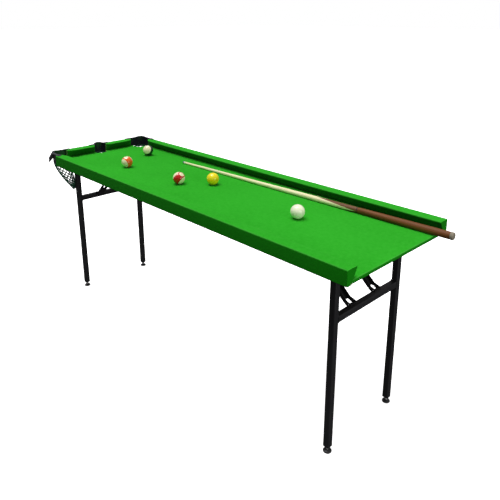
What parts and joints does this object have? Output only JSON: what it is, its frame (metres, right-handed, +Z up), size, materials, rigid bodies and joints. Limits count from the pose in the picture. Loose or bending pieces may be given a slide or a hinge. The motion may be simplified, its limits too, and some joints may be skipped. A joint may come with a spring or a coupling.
{
  "type": "mini pool table",
  "caption": "Narrow half-length pool table with pockets at one end, an open other end, folding leg frames with knee braces, balls and a cue.",
  "frame": {"origin": "on the floor, under the middle of the outer box", "axes": "+X along the table from the pockets to the open end, +Y across to the far side, +Z up"},
  "size_m": [2.0852, 0.611, 0.817],
  "materials": {
    "board": "sanded, unpainted",
    "cloth": "stretched green cloth, matt",
    "cushion": "cloth over a rubber cushion, matt",
    "pocket_plastic": "moulded, semi-gloss",
    "net_cord": "knotted dark green cord",
    "black_steel": "black powder coat, satin",
    "zinc_steel": "zinc plated",
    "black_plastic": "moulded, matt",
    "white_resin": "polished",
    "yellow_resin": "polished",
    "red_resin": "polished, with a white band",
    "orange_resin": "polished, with a white band",
    "cream_resin": "polished",
    "maple": "lacquered",
    "dark_wood": "lacquered",
    "tip_leather": "chalked",
    "rubber": "matt"
  },
  "bodies": {
    "table": {"bed_board": "board", "bed_cloth": "cloth", "near_side_rail": "cloth", "far_side_rail": "cloth", "near_end_rail": "cloth", "far_end_rail": "cloth", "near_side_cushion": "cushion", "far_side_cushion": "cushion", "near_end_cushion": "cushion", "far_end_cushion": "cushion", "near_corner_bracket": "pocket_plastic", "far_corner_bracket": "pocket_plastic", "middle_bracket": "pocket_plastic", "near_corner_net": "net_cord", "far_corner_net": "net_cord", "middle_net": "net_cord", "open_end_near_hinge_bracket": "zinc_steel", "open_end_near_brace_bracket": "zinc_steel", "open_end_far_hinge_bracket": "zinc_steel", "open_end_far_brace_bracket": "zinc_steel", "pocket_end_near_hinge_bracket": "zinc_steel", "pocket_end_near_brace_bracket": "zinc_steel", "pocket_end_far_hinge_bracket": "zinc_steel", "pocket_end_far_brace_bracket": "zinc_steel"},
    "open_end_frame": {"open_end_near_leg": "black_steel", "open_end_far_leg": "black_steel", "open_end_crossbar": "black_steel", "open_end_near_brace_lug": "black_steel", "open_end_far_brace_lug": "black_steel"},
    "open_end_lower_braces": {"open_end_near_lower_brace": "black_steel", "open_end_far_lower_brace": "black_steel"},
    "open_end_upper_braces": {"open_end_near_upper_brace": "black_steel", "open_end_far_upper_brace": "black_steel"},
    "open_end_near_foot": {"open_end_near_foot_stem": "zinc_steel", "open_end_near_foot_pad": "black_plastic"},
    "open_end_far_foot": {"open_end_far_foot_stem": "zinc_steel", "open_end_far_foot_pad": "black_plastic"},
    "pocket_end_frame": {"pocket_end_near_leg": "black_steel", "pocket_end_far_leg": "black_steel", "pocket_end_crossbar": "black_steel", "pocket_end_near_brace_lug": "black_steel", "pocket_end_far_brace_lug": "black_steel"},
    "pocket_end_lower_braces": {"pocket_end_near_lower_brace": "black_steel", "pocket_end_far_lower_brace": "black_steel"},
    "pocket_end_upper_braces": {"pocket_end_near_upper_brace": "black_steel", "pocket_end_far_upper_brace": "black_steel"},
    "pocket_end_near_foot": {"pocket_end_near_foot_stem": "zinc_steel", "pocket_end_near_foot_pad": "black_plastic"},
    "pocket_end_far_foot": {"pocket_end_far_foot_stem": "zinc_steel", "pocket_end_far_foot_pad": "black_plastic"},
    "white_ball": {"white_ball": "white_resin"},
    "yellow_ball": {"yellow_ball": "yellow_resin"},
    "red_striped_ball": {"red_striped_ball": "red_resin"},
    "orange_striped_ball": {"orange_striped_ball": "orange_resin"},
    "cream_ball": {"cream_ball": "cream_resin"},
    "cue": {"cue_tip": "tip_leather", "cue_shaft": "maple", "cue_butt": "dark_wood", "cue_bumper": "rubber"}
  },
  "joints": [
    {"name": "open_end_leg_fold", "type": "hinge", "parent": "table", "child": "open_end_frame", "pos_m": [0.85, 0, 0.704], "axis": [0, 1, 0], "range_deg": [0, 90]},
    {"name": "open_end_upper_brace_turn", "type": "hinge", "parent": "table", "child": "open_end_upper_braces", "pos_m": [0.62742, 0, 0.73], "axis": [0, 1, 0], "range_deg": [0, 138.1]},
    {"name": "open_end_lower_brace_turn", "type": "hinge", "parent": "open_end_frame", "child": "open_end_lower_braces", "pos_m": [0.824, 0, 0.553], "axis": [0, 1, 0], "range_deg": [-132.1, 0]},
    {"name": "open_end_near_foot_screw", "type": "slide", "parent": "open_end_frame", "child": "open_end_near_foot", "axis": [0, 0, 1], "range_m": [-0.012, 0]},
    {"name": "open_end_far_foot_screw", "type": "slide", "parent": "open_end_frame", "child": "open_end_far_foot", "axis": [0, 0, 1], "range_m": [-0.012, 0]},
    {"name": "pocket_end_leg_fold", "type": "hinge", "parent": "table", "child": "pocket_end_frame", "pos_m": [-0.92, 0, 0.704], "axis": [0, -1, 0], "range_deg": [0, 90]},
    {"name": "pocket_end_upper_brace_turn", "type": "hinge", "parent": "table", "child": "pocket_end_upper_braces", "pos_m": [-0.69742, 0, 0.73], "axis": [0, -1, 0], "range_deg": [0, 138.1]},
    {"name": "pocket_end_lower_brace_turn", "type": "hinge", "parent": "pocket_end_frame", "child": "pocket_end_lower_braces", "pos_m": [-0.894, 0, 0.553], "axis": [0, -1, 0], "range_deg": [-132.1, 0]},
    {"name": "pocket_end_near_foot_screw", "type": "slide", "parent": "pocket_end_frame", "child": "pocket_end_near_foot", "axis": [0, 0, 1], "range_m": [-0.012, 0]},
    {"name": "pocket_end_far_foot_screw", "type": "slide", "parent": "pocket_end_frame", "child": "pocket_end_far_foot", "axis": [0, 0, 1], "range_m": [-0.012, 0]},
    {"name": "white_ball_roll", "type": "slide", "parent": "table", "child": "white_ball", "axis": [1, 0, 0], "range_m": [-0.3, 0.3]},
    {"name": "yellow_ball_roll", "type": "slide", "parent": "table", "child": "yellow_ball", "axis": [1, 0, 0], "range_m": [-0.08, 0.15]},
    {"name": "red_striped_ball_roll", "type": "slide", "parent": "table", "child": "red_striped_ball", "axis": [1, 0, 0], "range_m": [-0.25, 0.25]},
    {"name": "orange_striped_ball_roll", "type": "slide", "parent": "table", "child": "orange_striped_ball", "axis": [1, 0, 0], "range_m": [-0.25, 0.06]},
    {"name": "cream_ball_roll", "type": "slide", "parent": "table", "child": "cream_ball", "axis": [1, 0, 0], "range_m": [-0.15, 0.05]},
    {"name": "cue_stroke", "type": "slide", "parent": "table", "child": "cue", "axis": [0.9996, 0.0281, 0], "range_m": [-0.1, 0.15]}
  ],
  "couplings": [
    {"joint": "open_end_upper_brace_turn", "follows": "open_end_leg_fold", "ratio": 1.5333},
    {"joint": "open_end_lower_brace_turn", "follows": "open_end_leg_fold", "ratio": -1.4667},
    {"joint": "pocket_end_upper_brace_turn", "follows": "pocket_end_leg_fold", "ratio": 1.5333},
    {"joint": "pocket_end_lower_brace_turn", "follows": "pocket_end_leg_fold", "ratio": -1.4667}
  ]
}
